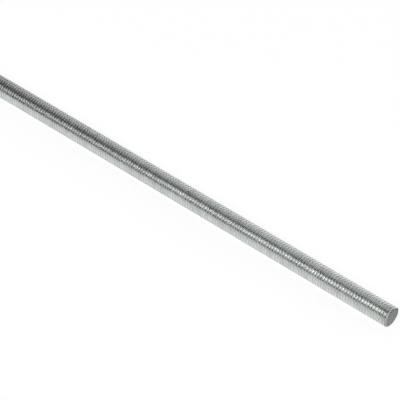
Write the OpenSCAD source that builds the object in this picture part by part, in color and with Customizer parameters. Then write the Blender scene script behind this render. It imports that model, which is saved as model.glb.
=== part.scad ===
// Threaded rod, lying along X with its middle at the origin.
// The solid is the thread's outer envelope: the cylinder that the crests touch,
// cut square at both ends, with the rim of each end face broken by a narrow bevel.

/* [Thread] */
// Nominal diameter of the metric thread
thread_d = 10; // [6:1:30]
// How far the finished crests stay under the nominal diameter
crest_under = 0.05; // [0:0.01:0.4]

/* [Rod] */
// Length from one end face to the other
rod_l = 300; // [50:1:3000]

/* [Ends] */
// Length of the bevel along the rod
bevel_l = 0.2; // [0.05:0.05:1]
// Angle between the bevel and the rod's axis
bevel_angle = 45; // [30:1:60]

/* [Hidden] */
$fn = 96;

crest_r = (thread_d - crest_under) / 2;
face_r = crest_r - bevel_l * tan(bevel_angle);

// Half of the rod's section, with radius along X and the rod's length along Y
module half_section() {
    polygon([
        [0, -rod_l / 2],
        [face_r, -rod_l / 2],
        [crest_r, -rod_l / 2 + bevel_l],
        [crest_r, rod_l / 2 - bevel_l],
        [face_r, rod_l / 2],
        [0, rod_l / 2]
    ]);
}

module threaded_rod() {
    color("silver")
        rotate([0, 90, 0])
            rotate_extrude()
                half_section();
}

threaded_rod();
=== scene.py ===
# %% [markdown]
# A threaded rod, or studding, is a bar of steel with a screw thread rolled into its whole length.
# This lesson builds one at its real size, plates it with zinc and photographs it on a white board.
# The construction comes from the packed CAD part, as a plain bar with square-cut ends. It fixes the
# rod's length, its diameter and its place, and everything that is finer than that is made here.

# %% The frame that everything is built in
import math

import bmesh
import bpy
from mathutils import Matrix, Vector


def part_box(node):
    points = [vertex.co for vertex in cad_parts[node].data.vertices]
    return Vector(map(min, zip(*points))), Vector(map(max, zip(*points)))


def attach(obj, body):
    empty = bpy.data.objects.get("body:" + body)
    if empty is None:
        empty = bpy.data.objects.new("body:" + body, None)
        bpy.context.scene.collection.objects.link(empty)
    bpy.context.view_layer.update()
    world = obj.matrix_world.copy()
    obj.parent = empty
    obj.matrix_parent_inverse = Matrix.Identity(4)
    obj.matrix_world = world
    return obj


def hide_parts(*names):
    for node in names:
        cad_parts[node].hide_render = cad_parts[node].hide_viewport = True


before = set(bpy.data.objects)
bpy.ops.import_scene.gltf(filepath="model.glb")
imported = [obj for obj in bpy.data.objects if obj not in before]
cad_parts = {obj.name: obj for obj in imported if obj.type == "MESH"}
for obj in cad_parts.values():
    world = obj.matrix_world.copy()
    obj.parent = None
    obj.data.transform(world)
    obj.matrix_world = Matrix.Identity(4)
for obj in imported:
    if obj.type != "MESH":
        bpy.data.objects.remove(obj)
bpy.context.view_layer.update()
low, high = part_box("threaded_rod")

MM = 0.001  # metres in a millimetre
rod_l = high.x - low.x
crest_r = min(high.y, high.z)
print(f"rod {rod_l / MM:.1f} mm long, crests at radius {crest_r / MM:.3f} mm")

# %% [markdown]
# The thread is the coarse metric one for a 10 mm rod. Its standard gives every size from two numbers,
# the nominal diameter and the pitch, so the section is worked out here instead of being drawn by eye.
# The flanks stand 60 degrees apart. At the pitch cylinder the metal and the gap are equally wide, and
# from there the flanks run out to the crest and in to the root, which is rounded so that it won't crack.

# %% Sizes of the thread
nominal_r = 5.0 * MM
pitch = 1.5 * MM
flank_lean = math.radians(30)  # between a flank and a plane across the rod

# shares of the pitch, the first three from the standard
PITCH_DEPTH = 0.32476
ROOT_DEPTH = 0.61343
ROOT_ROUND = 0.14434
CREST_ROUND = 0.05
pitch_r = nominal_r - PITCH_DEPTH * pitch
root_r = nominal_r - ROOT_DEPTH * pitch
root_round = ROOT_ROUND * pitch
crest_round = CREST_ROUND * pitch

crest_half = pitch / 4 - (crest_r - pitch_r) * math.tan(flank_lean)
valley_r = pitch_r - pitch / 4 / math.tan(flank_lean)  # where the flanks would meet in a sharp root
bevel = 0.2 * MM  # its length along the rod, and its depth
face_r = crest_r - bevel
print(f"root at radius {root_r / MM:.3f} mm, crest {2 * crest_half / MM:.3f} mm wide")

# %% [markdown]
# The camera comes early, because the scene is judged from it. A long lens from about 0.77 m away gives
# the rod's slight taper. The view runs down onto the rod from its near end and cuts off the far end.

# %% Camera
camera_azimuth = math.radians(39.81)
camera_elevation = math.radians(45.03)
camera_distance = 0.7677
camera_target = Vector((0.04193, 0, 0.00264))

towards_camera = Vector((
    math.sin(camera_azimuth) * math.cos(camera_elevation),
    -math.cos(camera_azimuth) * math.cos(camera_elevation),
    math.sin(camera_elevation),
))
camera_data = bpy.data.cameras.new("camera")
camera_data.sensor_width = 36
camera_data.lens = 150
camera = bpy.data.objects.new("camera", camera_data)
camera.location = camera_target + towards_camera * camera_distance
camera.rotation_euler = (-towards_camera).to_track_quat("-Z", "Y").to_euler()
bpy.context.scene.collection.objects.link(camera)
bpy.context.scene.camera = camera
print("camera at", [round(value, 4) for value in camera.location])

# %% [markdown]
# Node trees are built with one small function, for geometry and for materials alike. It adds a node, sets
# what the node itself holds, and fills each input with a value or with a link from another node. An input
# is found by its name, or by its number where several share a name, as on a Math node. A few kinds hide
# some of their inputs: on Compare, 2 and 3 are the whole numbers, and on Mix, 6 and 7 are the colours.


# %% One function that adds a node
def add(tree, kind, inputs=None, **settings):
    """Adds a node and fills its inputs. A node that is given as a value stands for its first output."""
    node = tree.nodes.new(kind)
    for name, value in settings.items():
        setattr(node, name, value)
    for key, value in (inputs or {}).items():
        if isinstance(value, bpy.types.Node):
            value = value.outputs[0]
        if isinstance(value, bpy.types.NodeSocket):
            tree.links.new(value, node.inputs[key])
        else:
            node.inputs[key].default_value = value
    return node


print("add:", add.__doc__)

# %% [markdown]
# The rod could be made in three ways. A screw modifier winds an outline round an axis, but it leaves the
# ends ragged. A displacement of a cylinder rounds off the crests. Here Geometry Nodes wind the section
# round the axis as one continuous sheet, close it into a solid, and trim that solid to the blank's length,
# which is the order that the real rod is made in: the thread first, and the cut ends last.

# %% Thread tree: its inputs
tree = bpy.data.node_groups.new("rolled_thread", "GeometryNodeTree")
TREE_INPUTS = {
    "Length": "NodeSocketFloat",
    "Pitch": "NodeSocketFloat",
    "Crest Radius": "NodeSocketFloat",
    "Crest Half Width": "NodeSocketFloat",
    "Crest Rounding": "NodeSocketFloat",
    "Valley Radius": "NodeSocketFloat",
    "Root Rounding": "NodeSocketFloat",
    "Face Radius": "NodeSocketFloat",
    "Turns": "NodeSocketInt",
    "Steps per Turn": "NodeSocketInt",
    "Nick Place": "NodeSocketVector",
    "Nick Size": "NodeSocketVector",
    "Plated": "NodeSocketMaterial",
    "Cut": "NodeSocketMaterial",
    "Bruised": "NodeSocketMaterial",
}
socket_ids = {}
for name, kind in TREE_INPUTS.items():
    socket = tree.interface.new_socket(name, in_out="INPUT", socket_type=kind)
    socket_ids[name] = socket.identifier
tree.interface.new_socket("Geometry", in_out="OUTPUT", socket_type="NodeSocketGeometry")
given = add(tree, "NodeGroupInput").outputs
print("tree inputs:", ", ".join(TREE_INPUTS))

# %% [markdown]
# The section of one turn runs from the middle of a crest to the middle of the next: half a crest, a flank,
# the root, a flank and half a crest. Five corners are enough, and Fillet Curve rounds the three that are
# round on the real thread, with more steps in the root, whose radius is the larger.

# %% Thread tree: the section of one turn
ROOT_CORNER = 2  # the third of the five corners
ROOT_STEPS = 3  # steps in the root's arc
CREST_STEPS = 1
index = add(tree, "GeometryNodeInputIndex")
half_pitch = add(tree, "ShaderNodeMath", {0: given["Pitch"], 1: 0.5}, operation="MULTIPLY")
far_edge = add(tree, "ShaderNodeMath", {0: given["Pitch"], 1: given["Crest Half Width"]},
               operation="SUBTRACT")
section_corners = (
    (0.0, given["Crest Radius"]),
    (given["Crest Half Width"], given["Crest Radius"]),
    (half_pitch, given["Valley Radius"]),
    (far_edge, given["Crest Radius"]),
    (given["Pitch"], given["Crest Radius"]),
)
pick_corner = add(tree, "GeometryNodeIndexSwitch", {"Index": index}, data_type="VECTOR")
while len(pick_corner.index_switch_items) < len(section_corners):
    pick_corner.index_switch_items.new()
for number, (x, y) in enumerate(section_corners, 1):
    corner = add(tree, "ShaderNodeCombineXYZ", {"X": x, "Y": y})
    tree.links.new(corner.outputs[0], pick_corner.inputs[number])

dots = add(tree, "GeometryNodeMeshLine", {"Count": len(section_corners)})
outline = add(tree, "GeometryNodeMeshToCurve", {"Mesh": dots})
outline = add(tree, "GeometryNodeSetPosition", {"Geometry": outline, "Position": pick_corner})
is_root = add(tree, "FunctionNodeCompare", {2: index, 3: ROOT_CORNER}, data_type="INT", operation="EQUAL")
rounding = add(tree, "GeometryNodeSwitch", {
    "Switch": is_root, "False": given["Crest Rounding"], "True": given["Root Rounding"],
}, input_type="FLOAT")
arc_steps = add(tree, "GeometryNodeSwitch", {
    "Switch": is_root, "False": CREST_STEPS, "True": ROOT_STEPS,
}, input_type="INT")
section = add(tree, "GeometryNodeFilletCurve", {
    "Curve": outline, "Count": arc_steps, "Radius": rounding,
}, mode="POLY")
section_size = add(tree, "GeometryNodeAttributeDomainSize", {"Geometry": section}, component="CURVE")
print(len(section_corners), "corners in the section")

# %% [markdown]
# A grid becomes the thread's surface. Its points are numbered step by step, so the number alone tells how
# far round a point is and which point of the section it takes. Each step turns the section a little about
# the axis and moves it on by the same share of the pitch. One whole turn on, the last point of the section
# lands on the first point of the next turn, and merging them joins the turns into one surface.

# %% Thread tree: winding the section round the axis
across = section_size.outputs["Point Count"]
all_steps = add(tree, "ShaderNodeMath", {0: given["Turns"], 1: given["Steps per Turn"], 2: 1.0},
                operation="MULTIPLY_ADD")
sheet = add(tree, "GeometryNodeMeshGrid", {"Vertices X": all_steps, "Vertices Y": across})
step = add(tree, "FunctionNodeIntegerMath", {0: index, 1: across}, operation="DIVIDE")
place = add(tree, "FunctionNodeIntegerMath", {0: index, 1: across}, operation="MODULO")
position = add(tree, "GeometryNodeInputPosition")
section_point = add(tree, "GeometryNodeSampleIndex", {
    "Geometry": section, "Value": position, "Index": place,
}, data_type="FLOAT_VECTOR", domain="POINT")

turn = add(tree, "ShaderNodeMath", {0: step, 1: given["Steps per Turn"]}, operation="DIVIDE")
half_turns = add(tree, "ShaderNodeMath", {0: given["Turns"], 1: 0.5}, operation="MULTIPLY")
from_middle = add(tree, "ShaderNodeMath", {0: turn, 1: half_turns}, operation="SUBTRACT")
along = add(tree, "ShaderNodeMath", {0: from_middle, 1: given["Pitch"]}, operation="MULTIPLY")
moved_on = add(tree, "ShaderNodeCombineXYZ", {"X": along})
moved_point = add(tree, "ShaderNodeVectorMath", {0: section_point, 1: moved_on}, operation="ADD")
turned = add(tree, "ShaderNodeMath", {0: turn, 1: math.tau}, operation="MULTIPLY")
wound = add(tree, "ShaderNodeVectorRotate", {"Vector": moved_point, "Angle": turned},
            rotation_type="X_AXIS")
thread = add(tree, "GeometryNodeSetPosition", {"Geometry": sheet.outputs["Mesh"], "Position": wound})
WELD = 0.001 * MM  # no two points of the real shape are as close as this
thread = add(tree, "GeometryNodeMergeByDistance", {"Geometry": thread, "Distance": WELD})
print("points within", WELD / MM, "mm of each other are merged")

# %% [markdown]
# A trim needs a closed solid. The wound sheet is open at both ends, along the one edge that has a face on
# one side only. That edge is extruded, and the new points are all drawn to the axis, where they merge.

# %% Thread tree: closing the two open ends
edge_faces = add(tree, "GeometryNodeInputMeshEdgeNeighbors")
is_rim = add(tree, "FunctionNodeCompare", {2: edge_faces, 3: 1}, data_type="INT", operation="EQUAL")
skirt = add(tree, "GeometryNodeExtrudeMesh", {
    "Mesh": thread, "Selection": is_rim, "Offset Scale": 0.0,
}, mode="EDGES")
place_x = add(tree, "ShaderNodeSeparateXYZ", {0: position}).outputs["X"]
side = add(tree, "ShaderNodeMath", {0: place_x}, operation="SIGN")
hub_x = add(tree, "ShaderNodeMath", {0: half_turns, 1: given["Pitch"]}, operation="MULTIPLY")
hub_x = add(tree, "ShaderNodeMath", {0: side, 1: hub_x}, operation="MULTIPLY")
hub = add(tree, "ShaderNodeCombineXYZ", {"X": hub_x})
closed = add(tree, "GeometryNodeSetPosition", {
    "Geometry": skirt.outputs["Mesh"], "Selection": skirt.outputs["Top"], "Position": hub,
})
closed = add(tree, "GeometryNodeMergeByDistance", {"Geometry": closed, "Distance": WELD})
print("both ends are drawn to the axis, half the turns' length away from the middle")

# %% [markdown]
# The blank is the bar as it is cut: two square faces, with a narrow 45 degree bevel where the rim is
# broken with a file. The bevels pass the crests and go on a little, so that between the ends nothing but
# the thread shapes the rod. It is a line of four points with a round section, whose scale at each point
# is the radius there.

# %% Thread tree: the blank that the thread is trimmed to
CLEAR = 0.3 * MM  # how far the blank stands clear of the crests
half_l = add(tree, "ShaderNodeMath", {0: given["Length"], 1: 0.5}, operation="MULTIPLY")
wide_r = add(tree, "ShaderNodeMath", {0: given["Crest Radius"], 1: CLEAR}, operation="ADD")
cone_l = add(tree, "ShaderNodeMath", {0: wide_r, 1: given["Face Radius"]}, operation="SUBTRACT")
shoulder_x = add(tree, "ShaderNodeMath", {0: half_l, 1: cone_l}, operation="SUBTRACT")
from_centre = add(tree, "ShaderNodeMath", {0: index, 1: 1.5}, operation="SUBTRACT")
blank_side = add(tree, "ShaderNodeMath", {0: from_centre}, operation="SIGN")
how_far = add(tree, "ShaderNodeMath", {0: from_centre}, operation="ABSOLUTE")
is_face_point = add(tree, "ShaderNodeMath", {0: how_far, 1: 1.0}, operation="GREATER_THAN")
blank_x = add(tree, "GeometryNodeSwitch", {"Switch": is_face_point, "False": shoulder_x, "True": half_l},
              input_type="FLOAT")
blank_r = add(tree, "GeometryNodeSwitch", {
    "Switch": is_face_point, "False": wide_r, "True": given["Face Radius"],
}, input_type="FLOAT")
blank_x = add(tree, "ShaderNodeMath", {0: blank_side, 1: blank_x}, operation="MULTIPLY")
blank_point = add(tree, "ShaderNodeCombineXYZ", {"X": blank_x})
blank_line = add(tree, "GeometryNodeMeshLine", {"Count": 4})
blank_line = add(tree, "GeometryNodeMeshToCurve", {"Mesh": blank_line})
blank_line = add(tree, "GeometryNodeSetPosition", {"Geometry": blank_line, "Position": blank_point})
ring_points = add(tree, "ShaderNodeMath", {0: given["Steps per Turn"], 1: 2.0}, operation="MULTIPLY")
ring = add(tree, "GeometryNodeCurvePrimitiveCircle", {"Resolution": ring_points, "Radius": 1.0})
blank = add(tree, "GeometryNodeCurveToMesh", {
    "Curve": blank_line, "Profile Curve": ring, "Scale": blank_r, "Fill Caps": True,
})
print("the blank stands", CLEAR / MM, "mm clear of the crests")

# %% [markdown]
# Rods are bundled and knocked about, and this one has a small nick on top, on the flank of one turn. A
# stretched ball is the tool that makes it. The Manifold solver cuts both solids in well under a second.
# It carries face attributes along, so the blank's faces and the ball's are marked before the cuts, and
# the marks tell afterwards which faces are cut or bruised.

# %% Thread tree: trimming and nicking
plated = add(tree, "GeometryNodeSetMaterial", {"Geometry": closed, "Material": given["Plated"]})
blank = add(tree, "GeometryNodeSetMaterial", {"Geometry": blank, "Material": given["Plated"]})
blank = add(tree, "GeometryNodeStoreNamedAttribute", {"Geometry": blank, "Name": "cut", "Value": True},
            data_type="BOOLEAN", domain="FACE")
trimmed = add(tree, "GeometryNodeMeshBoolean", {"Mesh 2": plated}, operation="INTERSECT",
              solver="MANIFOLD")
tree.links.new(blank.outputs[0], trimmed.inputs["Mesh 2"])  # this input takes several links

BALL_DETAIL = 3  # times that each face of the ball is divided
ball = add(tree, "GeometryNodeMeshIcoSphere", {"Radius": 1.0, "Subdivisions": BALL_DETAIL})
ball = add(tree, "GeometryNodeTransform", {
    "Geometry": ball, "Translation": given["Nick Place"], "Scale": given["Nick Size"],
})
ball = add(tree, "GeometryNodeSetMaterial", {"Geometry": ball, "Material": given["Plated"]})
ball = add(tree, "GeometryNodeStoreNamedAttribute", {"Geometry": ball, "Name": "bruised", "Value": True},
           data_type="BOOLEAN", domain="FACE")
nicked = add(tree, "GeometryNodeMeshBoolean", {"Mesh 1": trimmed, "Mesh 2": ball},
             operation="DIFFERENCE", solver="MANIFOLD")
cleaned = add(tree, "GeometryNodeMergeByDistance", {"Geometry": nicked, "Distance": WELD})
print("the thread is trimmed to the blank, and the ball is cut out of it")

# %% [markdown]
# A rolled thread gleams smoothly along its flanks, but where a saw or a blow cut it the edge is crisp. So
# faces are shaded smooth, and only an edge that bends sharply stays hard. Each marked face then gets the
# metal of its mark. The tree ends in plain faces, because the export drops instances.

# %% Thread tree: shading and materials
SHARP = math.radians(32)  # an edge that bends more than this stays crisp
smooth = add(tree, "GeometryNodeSetShadeSmooth", {"Geometry": cleaned}, domain="FACE")
bend = add(tree, "GeometryNodeInputMeshEdgeAngle").outputs["Unsigned Angle"]
is_soft = add(tree, "ShaderNodeMath", {0: bend, 1: SHARP}, operation="LESS_THAN")
smooth = add(tree, "GeometryNodeSetShadeSmooth", {"Geometry": smooth, "Shade Smooth": is_soft},
             domain="EDGE")
finished = add(tree, "GeometryNodeRealizeInstances", {"Geometry": smooth})
for mark, finish in (("cut", "Cut"), ("bruised", "Bruised")):
    marked = add(tree, "GeometryNodeInputNamedAttribute", {"Name": mark}, data_type="BOOLEAN")
    finished = add(tree, "GeometryNodeSetMaterial", {
        "Geometry": finished, "Selection": marked, "Material": given[finish],
    })
    finished = add(tree, "GeometryNodeRemoveAttribute", {"Geometry": finished, "Name": mark})
add(tree, "NodeGroupOutput", {"Geometry": finished})
print(len(tree.nodes), "nodes in the thread tree")


# %% [markdown]
# Colours are written as the sRGB hex values that a colour picker shows. Shaders work with linear light, so
# one function turns the one into the other.

# %% Colours and materials
def linear(colour):
    """Turns an sRGB colour such as "#c0c4c2" into the linear values that a shader works with."""
    parts = [int(colour[i:i + 2], 16) / 255 for i in (1, 3, 5)]
    return [p / 12.92 if p <= 0.04045 else ((p + 0.055) / 1.055) ** 2.4 for p in parts] + [1.0]


def new_material(name):
    """Makes an empty material and gives it back with its node tree."""
    material = bpy.data.materials.new(name)
    material.use_nodes = True
    material.node_tree.nodes.clear()
    return material, material.node_tree


print("a middle grey, #808080, is", round(linear("#808080")[0], 3), "in linear light")

# %% [markdown]
# The finish is bright zinc, electroplated onto the rolled steel: a cool, pale grey metal, less shiny than
# chrome. Its marks follow the thread, so the material first works out where a point lies on it. Unwound,
# the thread is one long strip. A point's angle and its place along the rod give how many turns along that
# strip it is, and how far it lies to the side of the strip's middle, which is the crest.

# %% Zinc: where a point lies on the thread
zinc, zinc_tree = new_material("bright_zinc_plating")
spot = add(zinc_tree, "ShaderNodeTexCoord").outputs["Object"]
spot_x, spot_y, spot_z = add(zinc_tree, "ShaderNodeSeparateXYZ", {0: spot}).outputs
off_axis = add(zinc_tree, "ShaderNodeCombineXYZ", {"Y": spot_y, "Z": spot_z})
radius = add(zinc_tree, "ShaderNodeVectorMath", {0: off_axis}, operation="LENGTH").outputs["Value"]
angle = add(zinc_tree, "ShaderNodeMath", {0: spot_z, 1: spot_y}, operation="ARCTAN2")
turn_share = add(zinc_tree, "ShaderNodeMath", {0: angle, 1: 1 / math.tau}, operation="MULTIPLY")
pitches = add(zinc_tree, "ShaderNodeMath", {0: spot_x, 1: 1 / pitch}, operation="MULTIPLY")
helix = add(zinc_tree, "ShaderNodeMath", {0: pitches, 1: turn_share}, operation="SUBTRACT")
crest_number = add(zinc_tree, "ShaderNodeMath", {0: helix}, operation="ROUND")
off_crest = add(zinc_tree, "ShaderNodeMath", {0: helix, 1: crest_number}, operation="SUBTRACT")
turns_along = add(zinc_tree, "ShaderNodeMath", {0: crest_number, 1: turn_share}, operation="ADD")
print("one turn of the strip is", round(math.tau * pitch_r / MM, 1), "mm long")

# %% [markdown]
# Three kinds of mark are layered. The bath leaves soft clouds a few millimetres wide, faintly green in one
# place and neutral in the next. The rolling dies leave each turn a little paler or darker than the last.
# They also drag fine lines along the strip, which are drawn here 0.15 mm apart, about three times as wide
# as real ones, because finer lines would not show.

# %% Zinc: clouds, turns and rolling lines
CLOUD = 5.0 * MM
CLOUD_LOW = 0.35  # the noise is mostly between these two
CLOUD_HIGH = 0.65
cloud = add(zinc_tree, "ShaderNodeTexNoise", {"Vector": spot, "Scale": 1 / CLOUD, "Detail": 2.0})
tint = add(zinc_tree, "ShaderNodeMapRange", {
    "Value": cloud, "From Min": CLOUD_LOW, "From Max": CLOUD_HIGH,
})

CHANGES_PER_TURN = 2.3
ROLLED_LOW = 0.3
ROLLED_HIGH = 0.7
LIGHT_CHANGE = 0.08  # how much paler or darker a stretch of the strip may be
rolled = add(zinc_tree, "ShaderNodeTexNoise", {"W": turns_along, "Scale": CHANGES_PER_TURN, "Detail": 1.0},
             noise_dimensions="1D")
lightness = add(zinc_tree, "ShaderNodeMapRange", {
    "Value": rolled, "From Min": ROLLED_LOW, "From Max": ROLLED_HIGH,
    "To Min": 1 - LIGHT_CHANGE, "To Max": 1 + LIGHT_CHANGE,
})

LINE_L = 4.0 * MM  # how long a rolling line runs before it fades
LINE_W = 0.15 * MM
lines_along = add(zinc_tree, "ShaderNodeMath", {0: turns_along, 1: math.tau * pitch_r / LINE_L},
                  operation="MULTIPLY")
lines_across = add(zinc_tree, "ShaderNodeMath", {0: off_crest, 1: pitch / LINE_W}, operation="MULTIPLY")
line_spot = add(zinc_tree, "ShaderNodeCombineXYZ", {"X": lines_along, "Y": lines_across})
lines = add(zinc_tree, "ShaderNodeTexNoise", {"Vector": line_spot, "Scale": 1.0, "Detail": 1.0})
print("clouds", CLOUD / MM, "mm wide, rolling lines", LINE_W / MM, "mm apart")

# %% [markdown]
# Height on the thread matters as much. The crests are smoother and the grooves more matt. The grooves are
# also painted much paler than the crests, a painted light that lifts the shade which the flanks cast into
# them. So the colour follows the distance from the axis, and the clouds tint it a little.

# %% Zinc: colour by height, with painted light in the grooves
GROOVE_R = root_r + 0.07 * MM
CREST_TONE_R = crest_r - 0.15 * MM
rise = add(zinc_tree, "ShaderNodeMapRange", {"Value": radius, "From Min": GROOVE_R, "From Max": CREST_TONE_R})
# painted light: the grooves are painted much paler than the crests, which lifts the shade that the flanks
# cast into them
groove_colour_painted_light = add(zinc_tree, "ShaderNodeMix", {
    "Factor": tint, 6: linear("#e9eeeb"), 7: linear("#ecefed"),
}, data_type="RGBA")
crest_colour = add(zinc_tree, "ShaderNodeMix", {
    "Factor": tint, 6: linear("#b3b9b6"), 7: linear("#b7bab8"),
}, data_type="RGBA")
zinc_colour = add(zinc_tree, "ShaderNodeMix", {
    "Factor": rise, 6: groove_colour_painted_light.outputs[2], 7: crest_colour.outputs[2],
}, data_type="RGBA")
print(f"darker crests above radius {CREST_TONE_R / MM:.2f} mm, grooves painted paler below {GROOVE_R / MM:.2f} mm")

# %% [markdown]
# Near each end the zinc is painted darker over a few millimetres, a painted shade that stands for the
# darker surroundings mirrored there. The last turn, which the file that broke each rim has scuffed, is
# painted darker still, a painted shade that dims the bright reflection at the end. Both marks follow the
# distance from the rod's middle, so that the two ends are alike.

# %% Zinc: painted shade at the ends
END_SHADE_L = 7.0 * MM  # how far in from each end face the painted shade reaches
END_SHADE_LIGHT = 0.86  # the share of its light that it keeps at the face
LAST_TURN_L = 1.1 * MM  # how far in the last turn is painted darker and made rougher
LAST_TURN_SHADE_LIGHT = 0.66
from_middle_x = add(zinc_tree, "ShaderNodeMath", {0: spot_x}, operation="ABSOLUTE")
end_shade = add(zinc_tree, "ShaderNodeMapRange", {
    "Value": from_middle_x, "From Min": rod_l / 2 - END_SHADE_L, "From Max": rod_l / 2,
}, interpolation_type="SMOOTHSTEP")
last_turn_shade_and_scuff = add(zinc_tree, "ShaderNodeMapRange", {
    "Value": from_middle_x, "From Min": rod_l / 2 - LAST_TURN_L, "From Max": rod_l / 2 - bevel,
}, interpolation_type="SMOOTHSTEP")
# painted shade: the zinc is darkened near both ends, and darker still on the last turn
for mark, kept in ((end_shade, END_SHADE_LIGHT), (last_turn_shade_and_scuff, LAST_TURN_SHADE_LIGHT)):
    kept_light = add(zinc_tree, "ShaderNodeMapRange", {"Value": mark, "To Min": 1.0, "To Max": kept})
    lightness = add(zinc_tree, "ShaderNodeMath", {0: lightness, 1: kept_light}, operation="MULTIPLY")
zinc_colour = add(zinc_tree, "ShaderNodeVectorMath", {0: zinc_colour.outputs[2], "Scale": lightness},
                  operation="SCALE")
print("dulled over", END_SHADE_L / MM, "mm, scuffed over", LAST_TURN_L / MM, "mm")

# %% [markdown]
# Bright zinc is fully metallic, with a roughness of about 0.2 to 0.4. It is glossiest on the crests and
# most matt on the last turn, which the file has scuffed. The rolling lines change the roughness a little
# and, as a weak bump, break up the gleam. The metal keeps the shader's own IOR, and its tone comes from the
# colour.

# %% Zinc: gloss and the finished material
GROOVE_ROUGH = 0.34
CREST_ROUGH = 0.23
LINE_ROUGH = 0.03  # how much a rolling line adds or takes away
SCUFFED_ROUGH = 0.12  # what the file adds
LINE_DEPTH = 0.004 * MM
LINE_STRENGTH = 0.25
height_rough = add(zinc_tree, "ShaderNodeMapRange", {
    "Value": rise, "To Min": GROOVE_ROUGH, "To Max": CREST_ROUGH,
})
line_rough = add(zinc_tree, "ShaderNodeMapRange", {
    "Value": lines, "To Min": -LINE_ROUGH, "To Max": LINE_ROUGH,
})
end_rough = add(zinc_tree, "ShaderNodeMath", {0: last_turn_shade_and_scuff, 1: SCUFFED_ROUGH}, operation="MULTIPLY")
zinc_rough = add(zinc_tree, "ShaderNodeMath", {0: height_rough, 1: line_rough}, operation="ADD")
zinc_rough = add(zinc_tree, "ShaderNodeMath", {0: zinc_rough, 1: end_rough}, operation="ADD")
zinc_bump = add(zinc_tree, "ShaderNodeBump", {
    "Height": lines, "Strength": LINE_STRENGTH, "Distance": LINE_DEPTH,
})
zinc_shader = add(zinc_tree, "ShaderNodeBsdfPrincipled", {
    "Base Color": zinc_colour, "Metallic": 1.0, "Roughness": zinc_rough, "Normal": zinc_bump,
})
add(zinc_tree, "ShaderNodeOutputMaterial", {"Surface": zinc_shader})
print(len(zinc_tree.nodes), "nodes in the zinc")

# %% [markdown]
# The rod was cut to length after it was plated, so its ends are bare steel: darker and duller than zinc,
# because the blade tears the metal instead of smoothing it. A saw leaves straight lines across the face.
# They are one noise, stretched along the cut and turned a little from upright. A real blade leaves them a
# few tenths of a millimetre apart, and they are drawn wider here, so that they show.

# %% Sawn end: the saw's lines
cut_steel, cut_tree = new_material("sawn_bare_steel")
cut_spot = add(cut_tree, "ShaderNodeTexCoord").outputs["Object"]
SAW_LINE_L = 6.0 * MM
SAW_LINE_W = 0.7 * MM
SAW_TURN = math.radians(25)  # how far the lines lean
saw_spot = add(cut_tree, "ShaderNodeMapping", {
    "Vector": cut_spot, "Rotation": (SAW_TURN, 0, 0), "Scale": (0, 1 / SAW_LINE_L, 1 / SAW_LINE_W),
}, vector_type="POINT")
saw = add(cut_tree, "ShaderNodeTexNoise", {"Vector": saw_spot, "Scale": 1.0, "Detail": 3.0})
sawn_colour = add(cut_tree, "ShaderNodeMix", {
    "Factor": saw, 6: linear("#666866"), 7: linear("#9a9b98"),
}, data_type="RGBA")
print("saw lines", SAW_LINE_W / MM, "mm apart")

# %% [markdown]
# Towards the rim the face has darkened, where fingers and nuts touch it. The bevel that the file left
# round it is bare steel like the face, painted darker still, a painted shade that dims the bright
# reflection of the board in it. Both follow the distance from the axis.

# %% Sawn end: rim, bevel and the finished material
DARK_RIM = 1.6 * MM  # how far in from the rim the face is darkened
SAWN_ROUGH_LOW = 0.42  # along a line's smooth bottom
SAWN_ROUGH_HIGH = 0.6
SAW_DEPTH = 0.02 * MM
SAW_STRENGTH = 0.6
cut_y, cut_z = add(cut_tree, "ShaderNodeSeparateXYZ", {0: cut_spot}).outputs[1:]
cut_off_axis = add(cut_tree, "ShaderNodeCombineXYZ", {"Y": cut_y, "Z": cut_z})
cut_radius = add(cut_tree, "ShaderNodeVectorMath", {0: cut_off_axis}, operation="LENGTH").outputs["Value"]
rim = add(cut_tree, "ShaderNodeMapRange", {
    "Value": cut_radius, "From Min": face_r - DARK_RIM, "From Max": face_r,
}, interpolation_type="SMOOTHSTEP")
face_colour = add(cut_tree, "ShaderNodeMix", {
    "Factor": rim, 6: sawn_colour.outputs[2], 7: linear("#6f716f"),
}, data_type="RGBA")
# painted shade: the bevel's colour is darker than the face's, to dim its bright reflection
bevel_painted_shade = add(cut_tree, "ShaderNodeMath", {0: cut_radius, 1: face_r}, operation="GREATER_THAN")
cut_colour = add(cut_tree, "ShaderNodeMix", {
    "Factor": bevel_painted_shade, 6: face_colour.outputs[2], 7: linear("#606260"),
}, data_type="RGBA")
cut_rough = add(cut_tree, "ShaderNodeMapRange", {
    "Value": saw, "To Min": SAWN_ROUGH_LOW, "To Max": SAWN_ROUGH_HIGH,
})
cut_bump = add(cut_tree, "ShaderNodeBump", {"Height": saw, "Strength": SAW_STRENGTH, "Distance": SAW_DEPTH})
cut_shader = add(cut_tree, "ShaderNodeBsdfPrincipled", {
    "Base Color": cut_colour.outputs[2], "Metallic": 1.0, "Roughness": cut_rough, "Normal": cut_bump,
})
add(cut_tree, "ShaderNodeOutputMaterial", {"Surface": cut_shader})
print(len(cut_tree.nodes), "nodes in the sawn end")

# %% [markdown]
# In the nick the plating is crushed and the steel under it has dulled. It is the darkest metal on the rod,
# mottled by the grains that were pressed into it, and rough enough to catch no gleam.

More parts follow.
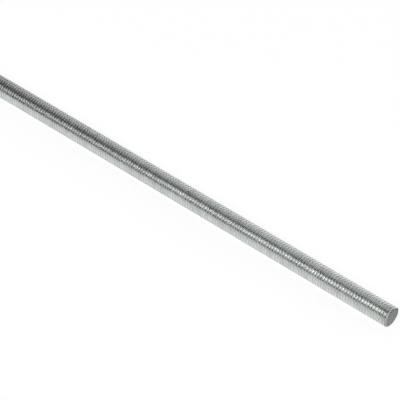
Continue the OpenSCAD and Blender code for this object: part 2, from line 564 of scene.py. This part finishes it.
# %% Bruise
BRUISE_GRAIN = 0.25 * MM
BRUISE_DEPTH = 0.02 * MM
BRUISE_STRENGTH = 0.5
BRUISE_ROUGH = 0.55
bruised_steel, bruised_tree = new_material("bruised_steel")
bruised_spot = add(bruised_tree, "ShaderNodeTexCoord").outputs["Object"]
grain = add(bruised_tree, "ShaderNodeTexNoise", {
    "Vector": bruised_spot, "Scale": 1 / BRUISE_GRAIN, "Detail": 2.0,
})
bruised_colour = add(bruised_tree, "ShaderNodeMix", {
    "Factor": grain, 6: linear("#666866"), 7: linear("#949593"),
}, data_type="RGBA")
bruised_bump = add(bruised_tree, "ShaderNodeBump", {
    "Height": grain, "Strength": BRUISE_STRENGTH, "Distance": BRUISE_DEPTH,
})
bruised_shader = add(bruised_tree, "ShaderNodeBsdfPrincipled", {
    "Base Color": bruised_colour.outputs[2], "Metallic": 1.0, "Roughness": BRUISE_ROUGH,
    "Normal": bruised_bump,
})
add(bruised_tree, "ShaderNodeOutputMaterial", {"Surface": bruised_shader})
print("three metals:", zinc.name, cut_steel.name, bruised_steel.name)

# %% [markdown]
# Now the tree is run. A modifier holds it on a scratch object, its inputs get the sizes from above, and the
# result is copied into a plain mesh. The thread runs past both faces by more than a turn before it is
# trimmed, and an even number of turns puts the middle of a crest at the rod's middle, on its +Y side.

# %% Making the rod's mesh
STEPS_PER_TURN = 48
SPARE_TURNS = 3  # both ends together, at the least
NICK_PLACE = (35.88 * MM, -0.40 * MM, 4.62 * MM)
NICK_SIZE = (0.62 * MM, 0.95 * MM, 0.62 * MM)  # half of its length, width and height
turns = 2 * math.ceil((rod_l / pitch + SPARE_TURNS) / 2)
tree_values = {
    "Length": rod_l,
    "Pitch": pitch,
    "Crest Radius": crest_r,
    "Crest Half Width": crest_half,
    "Crest Rounding": crest_round,
    "Valley Radius": valley_r,
    "Root Rounding": root_round,
    "Face Radius": face_r,
    "Turns": turns,
    "Steps per Turn": STEPS_PER_TURN,
    "Nick Place": NICK_PLACE,
    "Nick Size": NICK_SIZE,
    "Plated": zinc,
    "Cut": cut_steel,
    "Bruised": bruised_steel,
}
holder = bpy.data.objects.new("thread_holder", bpy.data.meshes.new("thread_holder"))
bpy.context.scene.collection.objects.link(holder)
modifier = holder.modifiers.new("thread", "NODES")
modifier.node_group = tree
for name, value in tree_values.items():
    modifier[socket_ids[name]] = value
bpy.context.view_layer.update()
evaluated = holder.evaluated_get(bpy.context.evaluated_depsgraph_get())
mesh = bpy.data.meshes.new_from_object(evaluated)
holder.modifiers.remove(modifier)
bpy.data.objects.remove(holder)

rod = bpy.data.objects.new("rolled_thread_rod", mesh)
bpy.context.scene.collection.objects.link(rod)
mesh.calc_loop_triangles()
print(f"rod: {len(mesh.vertices)} points, {len(mesh.loop_triangles)} triangles,",
      "materials", [material.name for material in mesh.materials])

# %% [markdown]
# The cuts leave a few points in the middle of a straight edge, where only two edges meet. They are
# dissolved, because splitting the faces into triangles would otherwise make slivers of no width there.

# %% Cleaning the cut edges
shape = bmesh.new()
shape.from_mesh(mesh)
midway = [point for point in shape.verts if len(point.link_edges) == 2]
print(len(midway), "points dissolved")
bmesh.ops.dissolve_verts(shape, verts=midway)
shape.to_mesh(mesh)
shape.free()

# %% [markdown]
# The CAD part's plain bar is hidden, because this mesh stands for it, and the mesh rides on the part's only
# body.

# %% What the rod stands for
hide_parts("threaded_rod")
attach(rod, "root")
print(rod.name, "replaces threaded_rod and rides on root")

# %% [markdown]
# The rod lies on a wide white board, whose edge turns up a little all round like a paper backdrop, so
# that a low view looks onto white too. A flat ring of points and a raised ring make it.

# %% Board: its shape
BOARD_R = 12.0  # metres from the middle to the edge
EDGE_HEIGHT = 0.78  # metres
RING_POINTS = 96
board_points = []
for ring_z in (low.z, low.z + EDGE_HEIGHT):
    for number in range(RING_POINTS):
        bearing = math.tau * number / RING_POINTS
        board_points.append((BOARD_R * math.cos(bearing), BOARD_R * math.sin(bearing), ring_z))
board_faces = [tuple(range(RING_POINTS))]
for number in range(RING_POINTS):
    after = (number + 1) % RING_POINTS
    board_faces.append((after, number, number + RING_POINTS, after + RING_POINTS))
board_mesh = bpy.data.meshes.new("board")
board_mesh.from_pydata(board_points, [], board_faces)
board = bpy.data.objects.new("board", board_mesh)
bpy.context.scene.collection.objects.link(board)
print("board", 2 * BOARD_R, "m across, at height", round(low.z / MM, 3), "mm")

# %% [markdown]
# Small goods are often photographed on a board that is lit through from below. So it glows, and the lamps
# add the rest of its white. Only that rest can be shaded, which leaves the rod a pale, soft shadow. Well
# away from the rod, and for what mirrors it, the board is plain white, with a strength of 1.

# %% Board: its glow
BOARD_GLOW = 0.80
WHITE_FROM = 0.5  # metres from the rod's middle
WHITE_AT = 1.5
board_white, board_tree = new_material("lit_white_board")
ray = add(board_tree, "ShaderNodeLightPath").outputs
seen_glow = add(board_tree, "ShaderNodeMath", {0: ray["Is Camera Ray"], 1: BOARD_GLOW},
                operation="MULTIPLY")
glow = add(board_tree, "ShaderNodeEmission", {"Strength": seen_glow})
matt = add(board_tree, "ShaderNodeBsdfDiffuse", {"Color": linear("#adadad")})
lit_board = add(board_tree, "ShaderNodeAddShader", {0: matt, 1: glow})

board_spot = add(board_tree, "ShaderNodeTexCoord").outputs["Object"]
from_rod = add(board_tree, "ShaderNodeVectorMath", {0: board_spot}, operation="LENGTH").outputs["Value"]
far_out = add(board_tree, "ShaderNodeMapRange", {
    "Value": from_rod, "From Min": WHITE_FROM, "From Max": WHITE_AT,
}, interpolation_type="SMOOTHSTEP")
seen_far = add(board_tree, "ShaderNodeMath", {0: ray["Is Camera Ray"], 1: far_out}, operation="MULTIPLY")
mirrored = add(board_tree, "ShaderNodeMath", {0: ray["Is Glossy Ray"], 1: ray["Is Transmission Ray"]},
               operation="ADD")
white_share = add(board_tree, "ShaderNodeMath", {0: mirrored, 1: seen_far}, operation="ADD", use_clamp=True)
plain_white = add(board_tree, "ShaderNodeEmission", {"Strength": 1.0})
board_shader = add(board_tree, "ShaderNodeMixShader", {0: white_share, 1: lit_board, 2: plain_white})
add(board_tree, "ShaderNodeOutputMaterial", {"Surface": board_shader})
board_mesh.materials.append(board_white)
print("glow", BOARD_GLOW, "near the rod, plain white from", WHITE_AT, "m")

# %% [markdown]
# Bare metal shows what stands round it, so the lamps are placed for what they look like from the rod. A
# softbox in front draws the bright dots, one on each turn. A wide panel behind greys the upper side, and
# a low card off the near end lifts the turns' near flanks. Between them the dark room draws the two dark
# lines along the rod. Each lamp is set by its bearing, its height, its size as an angle and its brightness,
# where 1 is as bright as white paper, and the power in watts is worked out from these.

# %% Lamps
# name: bearing from +X towards +Y, height above the board, half width and half height as seen from the rod,
# all in degrees, and brightness
LAMPS = {
    "key": (-84.9, 48.9, 14.1, 16.6, 3.6),
    "rear": (100.4, 50.0, 34.9, 31.2, 0.61),
    "end_card": (16.7, 14.4, 42.7, 14.0, 1.07),
}
LAMP_DISTANCE = 3.0  # metres
for name, (bearing, height, half_w, half_h, brightness) in LAMPS.items():
    bearing, height, half_w, half_h = (math.radians(angle) for angle in (bearing, height, half_w, half_h))
    direction = Vector((
        math.cos(height) * math.cos(bearing), math.cos(height) * math.sin(bearing), math.sin(height),
    ))
    lamp_data = bpy.data.lights.new(name, "AREA")
    lamp_data.shape = "RECTANGLE"
    lamp_data.size = 2 * LAMP_DISTANCE * math.tan(half_w)
    lamp_data.size_y = 2 * LAMP_DISTANCE * math.tan(half_h)
    lamp_data.energy = brightness * math.pi * lamp_data.size * lamp_data.size_y
    lamp = bpy.data.objects.new(name, lamp_data)
    lamp.location = direction * LAMP_DISTANCE
    lamp.rotation_euler = (-direction).to_track_quat("-Z", "Y").to_euler()
    bpy.context.scene.collection.objects.link(lamp)
    print(f"{name}: {lamp_data.size:.2f} by {lamp_data.size_y:.2f} m, {lamp_data.energy:.1f} W")

ROOM_GREY = 0.03  # the dim room beyond the lamps
world = bpy.data.worlds.new("studio")
world.use_nodes = True
world.node_tree.nodes["Background"].inputs["Color"].default_value = (ROOM_GREY, ROOM_GREY, ROOM_GREY, 1)
bpy.context.scene.world = world
print("room", ROOM_GREY)

# %% [markdown]
# The Standard view shows a colour as it was written.

# %% The last lines
bpy.context.scene.view_settings.view_transform = "Standard"
